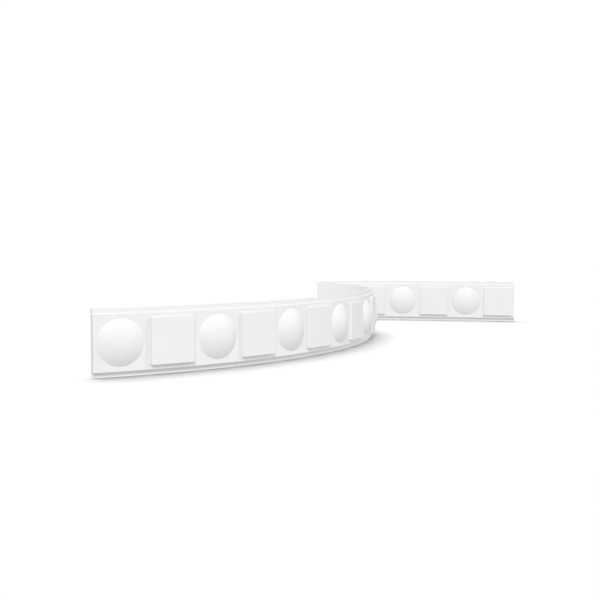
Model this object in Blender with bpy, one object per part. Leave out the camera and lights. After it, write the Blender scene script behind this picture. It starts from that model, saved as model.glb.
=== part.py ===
"""Flexible panel moulding: one long strip of soft polyurethane, cast with plain squares and domed discs
in turn and bent along an S-shaped wall. Metres, +Z up; the strip stands on its lower edge."""

import bmesh
import bpy
import numpy as np

# The section. Each thickness is measured out from the wall.
HEIGHT = 0.100
BAND_THICKNESS = 0.007
PANEL_MARGIN = 0.008
PANEL_THICKNESS = 0.012
SQUARE_THICKNESS = 0.017
DOME_THICKNESS = 0.023

# The pattern. Cells with a disc and with a square follow each other; both cut ends fall between two figures.
CELL = 0.080
CELL_COUNT = 22
FIGURE = 0.070

# The wall's bends in order, as (length, radius): over 0 bulges to the front, under 0 is hollow, 0 is straight.
BENDS = (
    (0.840, 0.815),
    (0.255, 0.342),
    (0.315, -0.128),
    (0.350, 0.0),
)

# How finely the curves are cut into flats.
STEPS_PER_SIDE = 8
DOME_RINGS = 4
WELD_DISTANCE = 1e-6

COLOUR_PRIMED_WHITE = (0.87, 0.87, 0.86, 1.0)


def wall_line(along):
    """Points (x, y) and heading of the wall at each distance along it.

    A bend of radius r turns the heading by length / r; its points lie on a circle, so
    x grows by r * (sin(new heading) - sin(heading)) and y by r * (cos(heading) - cos(new heading)).
    """
    heading = -sum(length / radius for length, radius in BENDS if radius)
    x = y = start = 0.0
    line_x, line_y, line_heading = (np.zeros_like(along) for _ in range(3))
    for length, radius in BENDS:
        here = along >= start - WELD_DISTANCE
        run = along[here] - start
        if radius:
            turned = heading + run / radius
            line_x[here] = x + radius * (np.sin(turned) - np.sin(heading))
            line_y[here] = y + radius * (np.cos(heading) - np.cos(turned))
            end = heading + length / radius
            x += radius * (np.sin(end) - np.sin(heading))
            y += radius * (np.cos(heading) - np.cos(end))
        else:
            turned = heading + 0 * run
            line_x[here] = x + run * np.cos(heading)
            line_y[here] = y + run * np.sin(heading)
            end = heading
            x += length * np.cos(heading)
            y += length * np.sin(heading)
        line_heading[here] = turned
        heading = end
        start += length
    return line_x, line_y, line_heading


def bent(along, out, up):
    """World points of flat-strip coordinates: out is laid off the wall line, square to its heading."""
    along, out, up = np.broadcast_arrays(along, out, up)
    x, y, heading = wall_line(along.astype(float))
    return np.stack([x + out * np.sin(heading), y - out * np.cos(heading), up + 0.0 * along], axis=-1)


def outline(side_along, side_up, centre):
    """Points round a rectangle in the panel's plane, from its lower left corner: (along, up), last equals first."""
    step = np.arange(STEPS_PER_SIDE) / STEPS_PER_SIDE
    zero, one = 0 * step, 0 * step + 1
    along = np.concatenate([step, one, 1 - step, zero, [0]]) - 0.5
    up = np.concatenate([zero, step, one, 1 - step, [0]]) - 0.5
    return centre + side_along * along, HEIGHT / 2 + side_up * up


def circle(radius, centre):
    """Points round a circle that pair with the outline's: a quarter turn for each of its sides."""
    angle = np.pi * 1.25 + np.arange(4 * STEPS_PER_SIDE + 1) * np.pi / (2 * STEPS_PER_SIDE)
    return centre + radius * np.cos(angle), HEIGHT / 2 + radius * np.sin(angle)


def sheet(mesh, points):
    """Adds a grid of points, shape (rows, columns, 3), as four-sided faces."""
    rows, columns = points.shape[:2]
    corners = [[mesh.verts.new(points[i, j]) for j in range(columns)] for i in range(rows)]
    for i in range(rows - 1):
        for j in range(columns - 1):
            mesh.faces.new((corners[i][j], corners[i][j + 1], corners[i + 1][j + 1], corners[i + 1][j]))


def add_panel_border(mesh, centre, inner):
    """The panel's flat front, from the cell's rim to the figure's outline."""
    rim = outline(CELL, HEIGHT - 2 * PANEL_MARGIN, centre)
    rings = np.stack([bent(rim[0], PANEL_THICKNESS, rim[1]), bent(inner[0], PANEL_THICKNESS, inner[1])])
    sheet(mesh, rings)


def add_disc(mesh, centre):
    """A domed disc: the cap of a ball, with its rim on the panel and its crown at DOME_THICKNESS."""
    rise = DOME_THICKNESS - PANEL_THICKNESS
    ball = (FIGURE**2 / 4 + rise**2) / (2 * rise)
    add_panel_border(mesh, centre, circle(FIGURE / 2, centre))
    rings = []
    for slope in np.linspace(np.arcsin(FIGURE / 2 / ball), 0, DOME_RINGS + 1):
        along, up = circle(ball * np.sin(slope), centre)
        rings.append(bent(along, DOME_THICKNESS - ball + ball * np.cos(slope), up))
    sheet(mesh, np.stack(rings))


def add_square(mesh, centre):
    """A plain square plate: walls straight out from the panel and a face that follows the wall's bend."""
    foot = outline(FIGURE, FIGURE, centre)
    add_panel_border(mesh, centre, foot)
    sheet(mesh, np.stack([bent(foot[0], out, foot[1]) for out in (PANEL_THICKNESS, SQUARE_THICKNESS)]))
    step = (np.arange(STEPS_PER_SIDE + 1) / STEPS_PER_SIDE - 0.5) * FIGURE
    sheet(mesh, bent(centre + step[None, :], SQUARE_THICKNESS, HEIGHT / 2 + step[:, None]))


def add_section(mesh):
    """The rest of the strip: panel edges, thin bands above and below, lower and upper edge, back, cut ends."""
    top = HEIGHT - PANEL_MARGIN
    out = np.array([PANEL_THICKNESS, BAND_THICKNESS, BAND_THICKNESS, 0, 0, BAND_THICKNESS, BAND_THICKNESS, PANEL_THICKNESS])
    up = np.array([top, top, HEIGHT, HEIGHT, 0, 0, PANEL_MARGIN, PANEL_MARGIN])
    along = np.arange(CELL_COUNT * STEPS_PER_SIDE + 1) * CELL / STEPS_PER_SIDE
    sheet(mesh, bent(along[None, :], out[:, None], up[:, None]))
    front_up = np.linspace(PANEL_MARGIN, top, STEPS_PER_SIDE + 1)[1:-1]
    end_out = np.concatenate([out, 0 * front_up + PANEL_THICKNESS])
    end_up = np.concatenate([up, front_up])
    for end in (along[0], along[-1]):
        mesh.faces.new([mesh.verts.new(point) for point in bent(end, end_out, end_up)])


def build_moulding():
    mesh = bmesh.new()
    add_section(mesh)
    for cell in range(CELL_COUNT):
        add_figure = add_square if cell % 2 else add_disc
        add_figure(mesh, (cell + 0.5) * CELL)
    bmesh.ops.remove_doubles(mesh, verts=mesh.verts, dist=WELD_DISTANCE)
    low = np.min([vertex.co for vertex in mesh.verts], axis=0)
    high = np.max([vertex.co for vertex in mesh.verts], axis=0)
    middle = (low + high) / 2
    bmesh.ops.translate(mesh, verts=mesh.verts, vec=(-middle[0], -middle[1], -low[2]))
    bmesh.ops.recalc_face_normals(mesh, faces=mesh.faces)
    data = bpy.data.meshes.new("moulding")
    mesh.to_mesh(data)
    mesh.free()
    return data


def primed_white():
    """Soft polyurethane under a factory coat of white primer."""
    material = bpy.data.materials.new("primed_white")
    material.use_nodes = True
    shader = material.node_tree.nodes["Principled BSDF"]
    shader.inputs["Base Color"].default_value = COLOUR_PRIMED_WHITE
    shader.inputs["Roughness"].default_value = 0.6
    return material


for old in list(bpy.data.objects):
    bpy.data.objects.remove(old, do_unlink=True)
moulding = bpy.data.objects.new("moulding", build_moulding())
moulding.data.materials.append(primed_white())
bpy.context.scene.collection.objects.link(moulding)
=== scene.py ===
"""A length of flexible panel moulding on an S-shaped bend: the cast strip, its primer and a white studio."""

import bpy
import numpy as np
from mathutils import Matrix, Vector


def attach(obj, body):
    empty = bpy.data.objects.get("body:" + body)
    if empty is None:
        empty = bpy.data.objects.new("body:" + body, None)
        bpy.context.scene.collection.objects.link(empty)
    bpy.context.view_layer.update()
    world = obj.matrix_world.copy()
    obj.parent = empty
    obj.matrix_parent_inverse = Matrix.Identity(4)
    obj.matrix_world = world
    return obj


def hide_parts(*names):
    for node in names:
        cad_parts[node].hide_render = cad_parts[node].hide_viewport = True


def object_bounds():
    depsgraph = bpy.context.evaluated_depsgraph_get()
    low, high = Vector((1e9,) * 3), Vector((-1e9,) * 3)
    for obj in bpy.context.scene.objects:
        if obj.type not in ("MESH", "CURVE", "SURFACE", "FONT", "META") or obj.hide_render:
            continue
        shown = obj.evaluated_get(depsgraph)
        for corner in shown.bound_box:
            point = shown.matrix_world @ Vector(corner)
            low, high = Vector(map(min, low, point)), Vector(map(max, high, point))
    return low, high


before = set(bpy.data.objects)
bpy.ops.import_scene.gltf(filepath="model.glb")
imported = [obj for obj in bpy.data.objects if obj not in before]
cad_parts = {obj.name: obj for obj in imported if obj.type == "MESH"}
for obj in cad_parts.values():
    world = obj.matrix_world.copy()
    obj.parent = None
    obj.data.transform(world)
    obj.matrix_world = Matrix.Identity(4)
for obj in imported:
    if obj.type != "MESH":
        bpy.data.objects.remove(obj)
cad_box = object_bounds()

# The line of the bend
# The strip is cast straight in soft polyurethane and takes its bend as it is glued on. From the left cut end
# it follows a long bulge, a tighter bulge and a hollow, and ends in a straight run with its back towards +Y.

# Each row is a length along the strip's back and the radius it bends to, in metres: a hollow's is below zero,
# and zero stands for the straight run.
BENDS = (
    (0.840, 0.815),
    (0.255, 0.342),
    (0.315, -0.128),
    (0.350, 0.0),
)


def bend_line(along):
    """Points (x, y) and heading of the strip's back at each distance along it.

    A bend of radius r turns the heading by length / r and carries the point round a circle: x grows by
    r * (sin of the new heading - sin of the old), y by r * (cos of the old heading - cos of the new).
    """
    heading = -sum(length / radius for length, radius in BENDS if radius)
    x = y = start = 0.0
    line = np.zeros((len(along), 3))
    for length, radius in BENDS:
        here = along >= start
        run = np.append(along[here] - start, length)
        if radius:
            turned = heading + run / radius
            run_x = x + radius * (np.sin(turned) - np.sin(heading))
            run_y = y + radius * (np.cos(heading) - np.cos(turned))
        else:
            turned = np.full(len(run), heading)
            run_x = x + run * np.cos(heading)
            run_y = y + run * np.sin(heading)
        line[here] = np.stack([run_x, run_y, turned], axis=-1)[:-1]
        x, y, heading = run_x[-1], run_y[-1], turned[-1]
        start += length
    return line


STRIP_LENGTH = sum(length for length, radius in BENDS)
right_end_x, right_end_y, _ = bend_line(np.array([STRIP_LENGTH]))[0]
cad_right, cad_back = cad_box[1][:2]


def bent(flat):
    """Where the points (along, out, up) of the straight strip come to lie.

    Each is laid off the line by out, square to its heading, and the whole is moved so that the right end and
    the back of the straight run meet the sides of the CAD box.
    """
    line_x, line_y, heading = bend_line(flat[:, 0]).T
    x = line_x - right_end_x + cad_right + flat[:, 1] * np.sin(heading)
    y = line_y - right_end_y + cad_back - flat[:, 1] * np.cos(heading)
    return np.stack([x, y, flat[:, 2]], axis=-1)


# The strip's section
# A flat back, a thin band along the top and the bottom edge, and a raised panel between them. It is cast in
# one, so each front edge leaves the mould with a small round and each inner corner with a smaller fillet.

# BAND and PANEL are distances out from the back. MARGIN is the band's height.
HEIGHT = cad_box[1][2] - cad_box[0][2]
BAND = 0.007
MARGIN = 0.008
PANEL = 0.012
EDGE_ROUND = 0.0006
INNER_FILLET = 0.0004
EASE = 0.0003
ARC_STEPS = 4


def rounded_corner(corner, before, after, radius):
    """Points that round a square corner by a quarter circle of this radius.

    The unit steps before and after lead away from the corner, back along the way in and on along the way out.
    The arc's point at angle a is corner + radius * ((1 - sin a) * before + (1 - cos a) * after). The first and
    the last point stand a little further out, so that the shading turns on the round alone.
    """
    angle = np.linspace(0, np.pi / 2, ARC_STEPS + 1)[:, None]
    before, after = np.array(before), np.array(after)
    arc = corner + radius * ((1 - np.sin(angle)) * before + (1 - np.cos(angle)) * after)
    return np.concatenate([[arc[0] + EASE * before], arc, [arc[-1] + EASE * after]])


def section():
    """The section as rows (out, up), from the panel's upper front edge over the back to the lower front edge.

    The lower half is the upper one with its height counted from the other edge, in the opposite order.
    """
    upper = np.concatenate([
        rounded_corner((PANEL, HEIGHT - MARGIN), (0, -1), (-1, 0), EDGE_ROUND),
        rounded_corner((BAND, HEIGHT - MARGIN), (1, 0), (0, 1), INNER_FILLET),
        rounded_corner((BAND, HEIGHT), (0, -1), (-1, 0), EDGE_ROUND),
        [(0, HEIGHT)],
    ])
    return np.concatenate([upper, (0, HEIGHT) + upper[::-1] * (1, -1)])


CELL = 0.080
CELL_COUNT = round(STRIP_LENGTH / CELL)
SIDE_STEPS = 24
stations = np.arange(CELL_COUNT * SIDE_STEPS + 1) * CELL / SIDE_STEPS
profile = section()
swept = np.empty((len(profile), len(stations), 3))
swept[..., 0] = stations
swept[..., 1] = profile[:, :1]
swept[..., 2] = profile[:, 1:]
patches = [swept]

# The panel's front
# It is flat and is marked off into cells of 80 mm, one for each figure. A cell's mesh is a set of rings of
# points, from the cell's rim to the figure's middle, that all start at the lower left corner.

rim_low, rim_high = profile[-1, 1], profile[0, 1]


def ring(bottom, right):
    """A closed ring: its bottom and right sides, the same turned by half a turn, and its first point again."""
    return np.concatenate([bottom, right, -bottom, -right, bottom[:1]])


def rim_ring():
    """The cell's rim, with as many even steps on each side as the swept section has in a cell."""
    step = np.arange(SIDE_STEPS) / SIDE_STEPS - 0.5
    width, height = CELL, rim_high - rim_low
    bottom = np.stack([width * step, -height / 2 + 0 * step], axis=-1)
    right = np.stack([width / 2 + 0 * step, height * step], axis=-1)
    return ring(bottom, right)


def rings_inward(outer, inner, shares):
    """Rings at these shares of the way from one ring to another."""
    return [outer + share * (inner - outer) for share in shares]


def cell_patch(rings, outs, cell):
    """A grid of points (along, out, up) from rings about a cell's middle, each at its own distance out."""
    rings = np.array(rings)
    patch = np.empty(rings.shape[:2] + (3,))
    patch[..., 0] = (cell + 0.5) * CELL + rings[..., 0]
    patch[..., 1] = np.array(outs)[:, None]
    patch[..., 2] = HEIGHT / 2 + rings[..., 1]
    return patch


# The domed discs
# Each is the cap of a ball, 70 mm across and 11 mm proud, that rises out of the panel from a small fillet.
# Eleven of them are cast on the strip, the first one beside the left cut end.

FIGURE = 0.070
DOME_CROWN = 0.023
DOME_RINGS = 20
FOOT_FILLET = 0.0006
FOOT_STEPS = 3
# Where the rings on the flat panel lie, as shares of the way from the cell's rim to the disc.
RIM_TO_DISC = (0, 0.35, 0.65, 0.88)
LOWER_LEFT = np.radians(225)
QUARTER_TURN = np.pi / 2


def circle_ring(radius):
    """A circle whose points pair with the rim's, with a quarter turn for each side."""
    angle = LOWER_LEFT + np.arange(SIDE_STEPS) / SIDE_STEPS * QUARTER_TURN
    bottom = radius * np.stack([np.cos(angle), np.sin(angle)], axis=-1)
    right = np.stack([-bottom[:, 1], bottom[:, 0]], axis=-1)
    return ring(bottom, right)


def dome_profile():
    """Radii and distances out, from the panel over the fillet to the crown.

    The ball has the radius (half width squared + rise squared) / (2 * rise). The fillet's circle touches the
    panel and the ball, so its middle is a fillet out from the panel and ball + fillet from the ball's middle.
    """
    rise = DOME_CROWN - PANEL
    ball = (FIGURE**2 / 4 + rise**2) / (2 * rise)
    ball_middle = DOME_CROWN - ball
    fillet_out = PANEL + FOOT_FILLET
    fillet_radius = np.sqrt((ball + FOOT_FILLET) ** 2 - (fillet_out - ball_middle) ** 2)
    foot_slope = np.arcsin(fillet_radius / (ball + FOOT_FILLET))
    lean = np.linspace(0, foot_slope, FOOT_STEPS + 1)
    slope = np.linspace(foot_slope, 0, DOME_RINGS + 1)[1:]
    radii = [fillet_radius + EASE, *(fillet_radius - FOOT_FILLET * np.sin(lean)), *(ball * np.sin(slope))]
    outs = [PANEL, *(fillet_out - FOOT_FILLET * np.cos(lean)), *(ball_middle + ball * np.cos(slope))]
    return radii, outs


dome_radii, dome_outs = dome_profile()
dome_rings = [circle_ring(radius) for radius in dome_radii]
disc_rings = rings_inward(rim_ring(), dome_rings[0], RIM_TO_DISC) + dome_rings
disc_outs = [PANEL] * len(RIM_TO_DISC) + dome_outs
patches += [cell_patch(disc_rings, disc_outs, cell) for cell in range(0, CELL_COUNT, 2)]

# The plain squares
# Each is a flat plate, 70 mm wide and high and 5 mm proud, with square walls, lightly rounded edges and a
# face that follows the bend. Eleven of them stand between the discs and beside the right cut end.

SQUARE = 0.017
CORNER_ROUND = 0.0012
CORNER_TURNS = (45, 22.5, 0)
RIM_TO_SQUARE = (0, 0.5)
FACE_RINGS = 12


def square_ring(inset):
    """A square outline moved in by this inset, with round corners.

    Each side starts and ends on a corner's arc. There the point at angle a from the side's own direction out
    is radius * (1 - sin a) along the side and radius * (1 - cos a) in from it, with a from 45 degrees to 0.
    """
    half = FIGURE / 2 - inset
    radius = CORNER_ROUND - inset
    turn = np.radians(CORNER_TURNS)
    arc_along = radius * (1 - np.sin(turn))
    arc_in = radius * (1 - np.cos(turn))
    straight_points = SIDE_STEPS + 1 - 2 * len(turn)
    straight = np.linspace(radius, 2 * half - radius, straight_points + 2)[1:-1]
    along = np.concatenate([arc_along, straight, 2 * half - arc_along[:0:-1]])
    inward = np.concatenate([arc_in, 0 * straight, arc_in[:0:-1]])
    bottom = np.stack([along - half, inward - half], axis=-1)
    right = np.stack([-bottom[:, 1], bottom[:, 0]], axis=-1)
    return ring(bottom, right)


foot = rounded_corner((0, PANEL), (-1, 0), (0, 1), INNER_FILLET)
edge = rounded_corner((0, SQUARE), (0, -1), (1, 0), EDGE_ROUND)
plate_rings = [square_ring(inset) for inset, out in (*foot, *edge)]
plate_outs = [out for inset, out in (*foot, *edge)]
inward_steps = np.linspace(0, 1, FACE_RINGS + 1)[1:]
face_rings = rings_inward(plate_rings[-1], 0 * plate_rings[-1], inward_steps)
square_rings = rings_inward(rim_ring(), plate_rings[0], RIM_TO_SQUARE) + plate_rings + face_rings
square_outs = [PANEL] * len(RIM_TO_SQUARE) + plate_outs + [SQUARE] * FACE_RINGS
patches += [cell_patch(square_rings, square_outs, cell) for cell in range(1, CELL_COUNT, 2)]

# The strip as one casting
# All of these surfaces are one skin of the same soft polyurethane. They meet edge to edge and are joined, and
# a flat face closes each end, where the strip is sawn square between two figures.

JOIN_DISTANCE = 1e-6
SHARP_ANGLE = np.radians(40)


def end_face(along):
    """The outline of the sawn face at one end: the section, closed by the rim's points up the panel's front."""
    front = np.linspace(rim_low, rim_high, SIDE_STEPS + 1)[1:-1]
    outline = np.concatenate([profile, np.stack([PANEL + 0 * front, front], axis=-1)])
    return np.concatenate([np.full((len(outline), 1), along), outline], axis=-1)


def joined_skin(name, grids, ends):
    """One mesh from grids of points and flat end faces.

    Points that fall on the same millionth of a metre are one. A grid gives a four-sided face between each two
    rows and columns. Where its last row is one point, the third and fourth corner are the same and it is a
    triangle.
    """
    points = np.concatenate([grid.reshape(-1, 3) for grid in grids] + ends)
    _, kept, number = np.unique(
        np.round(points / JOIN_DISTANCE), axis=0, return_index=True, return_inverse=True
    )
    number = number.reshape(-1)
    faces = []
    first = 0
    for grid in grids:
        rows, columns = grid.shape[:2]
        corner = number[first : first + rows * columns].reshape(rows, columns)
        quads = np.stack([corner[:-1, :-1], corner[:-1, 1:], corner[1:, 1:], corner[1:, :-1]], axis=-1)
        pointed = quads[..., 2] == quads[..., 3]
        faces += quads[~pointed].tolist() + quads[pointed][:, :3].tolist()
        first += rows * columns
    for end in ends:
        faces.append(number[first : first + len(end)].tolist())
        first += len(end)
    mesh = bpy.data.meshes.new(name)
    mesh.from_pydata(bent(points[kept]).tolist(), [], faces)
    return mesh


strip_mesh = joined_skin("moulding_strip", patches, [end_face(0.0), end_face(stations[-1])[::-1]])
strip_mesh.shade_smooth()
strip_mesh.set_sharp_from_angle(angle=SHARP_ANGLE)
strip = bpy.data.objects.new("moulding_strip", strip_mesh)
bpy.context.scene.collection.objects.link(strip)
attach(strip, "root")
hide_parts("moulding")

# The finish
# Soft cast polyurethane leaves the works under a sprayed coat of matt white primer, ready for paint. It gives
# the eye an even, neutral white with a soft sheen and no reflections, and a fine stipple from close by.

PRIMER_WHITE = "E6E6E6"
PRIMER_SHADE = "E2E2E2"
PRIMER_IOR = 1.48
PRIMER_ROUGHNESS = (0.52, 0.62)
CASTING_WAVE_MM = 40
# On the real strip the sprayed grain is finer and flatter. It is drawn as coarse as it needs to show.
STIPPLE_MM = 2.0
STIPPLE_DEPTH_MM = 0.12
MM_IN_METRE = 1000


def linear(hex_colour):
    """Linear colour of an sRGB value v: v / 12.92 up to 0.04045, above it ((v + 0.055) / 1.055) ^ 2.4."""
    value = np.array([int(hex_colour[start : start + 2], 16) for start in (0, 2, 4)]) / 255
    straight = np.where(value <= 0.04045, value / 12.92, ((value + 0.055) / 1.055) ** 2.4)
    return (*straight.tolist(), 1.0)


def add_node(tree, kind, settings={}, values={}, links={}):
    """Adds a node with these properties and input values, and links other nodes' outputs to its inputs."""
    node = tree.nodes.new(kind)
    for name, value in settings.items():
        setattr(node, name, value)
    for name, value in values.items():
        node.inputs[name].default_value = value
    for name, source in links.items():
        tree.links.new(source, node.inputs[name])
    return node


primer = bpy.data.materials.new("sprayed_primer_on_cast_polyurethane")
primer.use_nodes = True
tree = primer.node_tree
shader = tree.nodes["Principled BSDF"]
place = add_node(tree, "ShaderNodeTexCoord").outputs["Object"]
wave = add_node(
    tree,
    "ShaderNodeTexNoise",
    values={"Scale": MM_IN_METRE / CASTING_WAVE_MM, "Detail": 2.0, "Roughness": 0.45},
    links={"Vector": place},
).outputs["Fac"]
stipple = add_node(
    tree,
    "ShaderNodeTexNoise",
    values={"Scale": MM_IN_METRE / STIPPLE_MM, "Detail": 3.0, "Roughness": 0.6},
    links={"Vector": place},
).outputs["Fac"]
tone = add_node(
    tree,
    "ShaderNodeMix",
    settings={"data_type": "RGBA"},
    links={"Factor": wave},
)
tone.inputs["A"].default_value = linear(PRIMER_WHITE)
tone.inputs["B"].default_value = linear(PRIMER_SHADE)
roughness = add_node(
    tree,
    "ShaderNodeMapRange",
    values={"To Min": PRIMER_ROUGHNESS[0], "To Max": PRIMER_ROUGHNESS[1]},
    links={"Value": stipple},
)
grain = add_node(
    tree,
    "ShaderNodeBump",
    values={"Strength": 1.0, "Distance": STIPPLE_DEPTH_MM / MM_IN_METRE},
    links={"Height": stipple},
)
shader.inputs["IOR"].default_value = PRIMER_IOR
tree.links.new(tone.outputs["Result"], shader.inputs["Base Color"])
tree.links.new(roughness.outputs["Result"], shader.inputs["Roughness"])
tree.links.new(grain.outputs["Normal"], shader.inputs["Normal"])
strip_mesh.materials.append(primer)

# The floor
# A sheet of pale uncoated studio paper that the strip stands on with its lower edge. It has no sheen and looks
# even, with faint clouds where the pulp has settled. It throws no light back at the strip, so that the
# undersides of the squares and domes stay dark.

PAPER_WHITE = "D9D9D9"
PAPER_SHADE = "D7D7D7"
PAPER_ROUGHNESS = 0.9
PAPER_CLOUD_MM = 6
FLOOR_SIZE = 14.0

floor_side = np.array([-0.5, 0.5]) * FLOOR_SIZE
floor_mesh = bpy.data.meshes.new("paper_floor")
floor_corners = [(x, y, 0.0) for y in floor_side for x in floor_side]
floor_mesh.from_pydata(floor_corners, [], [(0, 1, 3, 2)])
floor = bpy.data.objects.new("paper_floor", floor_mesh)
bpy.context.scene.collection.objects.link(floor)
floor.visible_diffuse = False
floor.visible_glossy = False
floor.visible_shadow = False

paper = bpy.data.materials.new("pale_studio_paper")
paper.use_nodes = True
tree = paper.node_tree
shader = tree.nodes["Principled BSDF"]
place = add_node(tree, "ShaderNodeTexCoord").outputs["Object"]
cloud = add_node(
    tree,
    "ShaderNodeTexNoise",
    values={"Scale": MM_IN_METRE / PAPER_CLOUD_MM, "Detail": 2.0},
    links={"Vector": place},
).outputs["Fac"]
tone = add_node(
    tree,
    "ShaderNodeMix",
    settings={"data_type": "RGBA"},
    links={"Factor": cloud},
)
tone.inputs["A"].default_value = linear(PAPER_WHITE)
tone.inputs["B"].default_value = linear(PAPER_SHADE)
shader.inputs["Specular IOR Level"].default_value = 0.0
shader.inputs["Roughness"].default_value = PAPER_ROUGHNESS
tree.links.new(tone.outputs["Result"], shader.inputs["Base Color"])
floor_mesh.materials.append(paper)

# The light
# Three soft lamps light the strip: one half high in front, a lower one from the right and a weak one from the
# left. The paper has a broad lamp of its own, high up behind, whose soft shadow lies along the strip's foot.

# Each row gives a lamp's height above the level, its turn from the front towards the right and its spread, in
# degrees, then how much of full white it makes of a white sheet that faces it, and what it lights.
LAMPS = (
    ("front_lamp", 44, 12, 16, 0.63, strip),
    ("right_lamp", 30, 105, 25, 0.28, strip),
    ("left_lamp", 20, -60, 25, 0.06, strip),
    ("paper_lamp", 72, 215, 60, 1.08, floor),
)


def light_alone(lamp, lit):
    """Lets a lamp light this object and no other."""
    alone = bpy.data.collections.new(lamp.name + "_lights")
    alone.objects.link(lit)
    lamp.light_linking.receiver_collection = alone


for name, elevation, azimuth, spread, share, lit in LAMPS:
    lamp_data = bpy.data.lights.new(name, "SUN")
    lamp_data.energy = share * np.pi
    lamp_data.angle = np.radians(spread)
    lamp = bpy.data.objects.new(name, lamp_data)
    lamp.rotation_euler = (np.pi / 2 - np.radians(elevation), 0, np.radians(azimuth))
    bpy.context.scene.collection.objects.link(lamp)
    light_alone(lamp, lit)

# A white card to the left of the straight run lights the back of the bends that shows over the front stretch.

CARD_PLACE = Vector((-0.70, 0.62, 0.35))
CARD_AIM = Vector((0.0, 0.50, 0.08))
CARD_SIZE = 0.3
CARD_WATTS = 2.0

card_data = bpy.data.lights.new("back_card", "AREA")
card_data.size = CARD_SIZE
card_data.energy = CARD_WATTS
card = bpy.data.objects.new("back_card", card_data)
card.location = CARD_PLACE
card.rotation_euler = (CARD_AIM - CARD_PLACE).to_track_quat("-Z", "Y").to_euler()
bpy.context.scene.collection.objects.link(card)
light_alone(card, strip)

# The room is a dim white above and twice as bright below, as over a pale floor. The camera sees it a little
# over white, so that it is plain white all over.

ROOM_ABOVE = 0.42
ROOM_BELOW = 0.84
ROOM_SEEN = 1.05
PLAIN_WHITE = (1.0, 1.0, 1.0, 1.0)

room = bpy.data.worlds.new("white_room")
room.use_nodes = True
tree = room.node_tree
tree.nodes.clear()
direction = add_node(tree, "ShaderNodeTexCoord").outputs["Generated"]
upward = add_node(tree, "ShaderNodeSeparateXYZ", links={"Vector": direction}).outputs["Z"]
glow = add_node(
    tree,
    "ShaderNodeMapRange",
    values={"From Min": -1.0, "From Max": 1.0, "To Min": ROOM_BELOW, "To Max": ROOM_ABOVE},
    links={"Value": upward},
)
room_light = add_node(tree, "ShaderNodeBackground", links={"Strength": glow.outputs["Result"]})
room_seen = add_node(tree, "ShaderNodeBackground", values={"Strength": ROOM_SEEN})
for shown in (room_light, room_seen):
    shown.inputs["Color"].default_value = PLAIN_WHITE
seen = add_node(tree, "ShaderNodeLightPath").outputs["Is Camera Ray"]
blend = add_node(tree, "ShaderNodeMixShader", links={"Fac": seen})
tree.links.new(room_light.outputs["Background"], blend.inputs[1])
tree.links.new(room_seen.outputs["Background"], blend.inputs[2])
add_node(tree, "ShaderNodeOutputWorld", links={"Surface": blend.outputs["Shader"]})
bpy.context.scene.world = room
bpy.context.scene.view_settings.view_transform = "Standard"

# The camera
# It stands nearly two metres in front of the strip, at about twice its height, turned a little to the left and
# tipped a little down, so that the thin top faces just show.

CAMERA_PLACE = (0.27990, -1.85182, 0.18790)
CAMERA_TURN = 0.2137
CAMERA_TIP = 0.0561
LENS_MM = 57.157
SENSOR_MM = 36.0

camera_data = bpy.data.cameras.new("camera")
camera_data.lens = LENS_MM
camera_data.sensor_width = SENSOR_MM
camera = bpy.data.objects.new("camera", camera_data)
camera.location = CAMERA_PLACE
camera.rotation_euler = (np.pi / 2 - CAMERA_TIP, 0, CAMERA_TURN)
bpy.context.scene.collection.objects.link(camera)
bpy.context.scene.camera = camera
